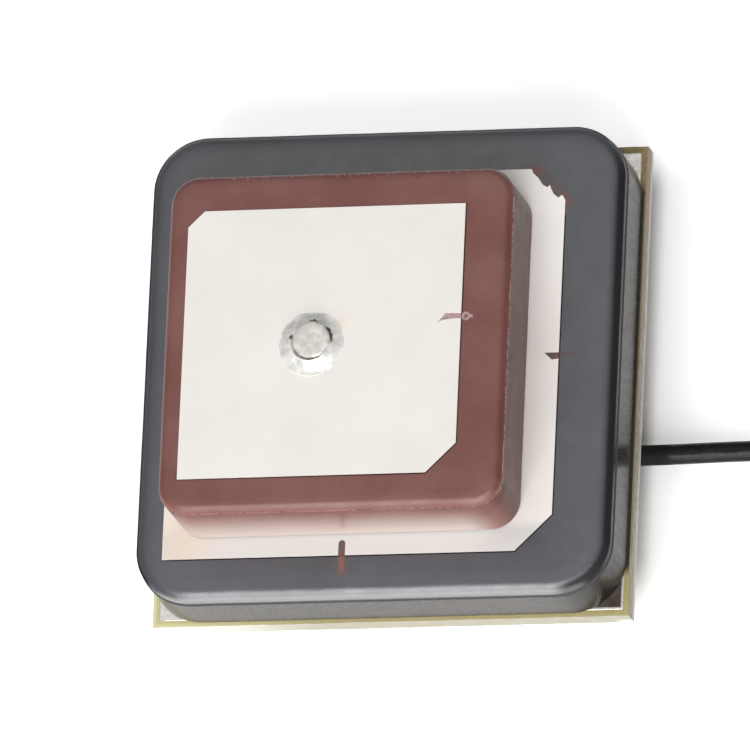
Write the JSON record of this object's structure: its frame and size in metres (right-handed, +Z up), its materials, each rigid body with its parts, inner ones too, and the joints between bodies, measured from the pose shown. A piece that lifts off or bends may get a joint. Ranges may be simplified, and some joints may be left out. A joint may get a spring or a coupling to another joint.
{
  "type": "gnss antenna",
  "caption": "Stacked ceramic patch antenna for satellite navigation on a square amplifier board, with a shield can under it and a thin coax lead to a push-on plug.",
  "frame": {"origin": "middle of the module's outline, on the surface that its shield can stands on", "axes": "+Z up through the stack, +X towards the side where the lead leaves, +Y to the back"},
  "size_m": [0.0667, 0.0352, 0.0177],
  "materials": {
    "laminate": "sawn glass-fibre laminate, bare at its rim",
    "tinned_copper": "bright tin on copper",
    "white_tape": "double-sided tape",
    "printed_silver": "fired silver print, satin",
    "grey_ceramic": "pressed and fired, semi-gloss",
    "red_ceramic": "pressed and fired, semi-gloss",
    "plated_pin": "tinned brass, dull",
    "solder": "bright solder",
    "tinned_steel": "drawn tin-plated sheet",
    "black_moulding": "moulded chip bodies",
    "filter_ceramic": "small filter packages",
    "tan_ceramic": "chip capacitors",
    "coil_ferrite": "chip inductors",
    "braid_copper": "tinned copper braid and wire",
    "lead_insulation": "translucent white insulation",
    "black_jacket": "black jacket, soft sheen",
    "tie_paper": "black tie",
    "plug_plating": "plated stamped sheet",
    "plug_gold": "gold-plated contact"
  },
  "bodies": {
    "root": {"circuit_board": "laminate", "top_copper": "tinned_copper", "bottom_copper": "tinned_copper", "lower_tape": "white_tape", "lower_ground_silver": "printed_silver", "lower_ceramic": "grey_ceramic", "lower_patch": "printed_silver", "upper_tape": "white_tape", "upper_ground_silver": "printed_silver", "upper_ceramic": "red_ceramic", "upper_patch": "printed_silver", "feed_pin": "plated_pin", "top_solder": "solder", "bottom_solder": "solder", "shield_can": "tinned_steel", "shield_solder": "solder", "amplifier_chips": "black_moulding", "band_filters": "filter_ceramic", "voltage_regulator": "black_moulding", "chip_capacitors": "tan_ceramic", "chip_resistors": "black_moulding", "chip_inductors": "coil_ferrite", "coax_braid": "braid_copper", "coax_insulation": "lead_insulation", "coax_wire": "braid_copper", "braid_solder": "solder", "wire_solder": "solder", "coax_lead": "black_jacket", "lead_coil": "black_jacket", "lead_tail": "black_jacket", "coil_tie": "tie_paper", "plug_shell": "plug_plating", "plug_insulator": "lead_insulation", "plug_contact": "plug_gold"}
  },
  "joints": []
}
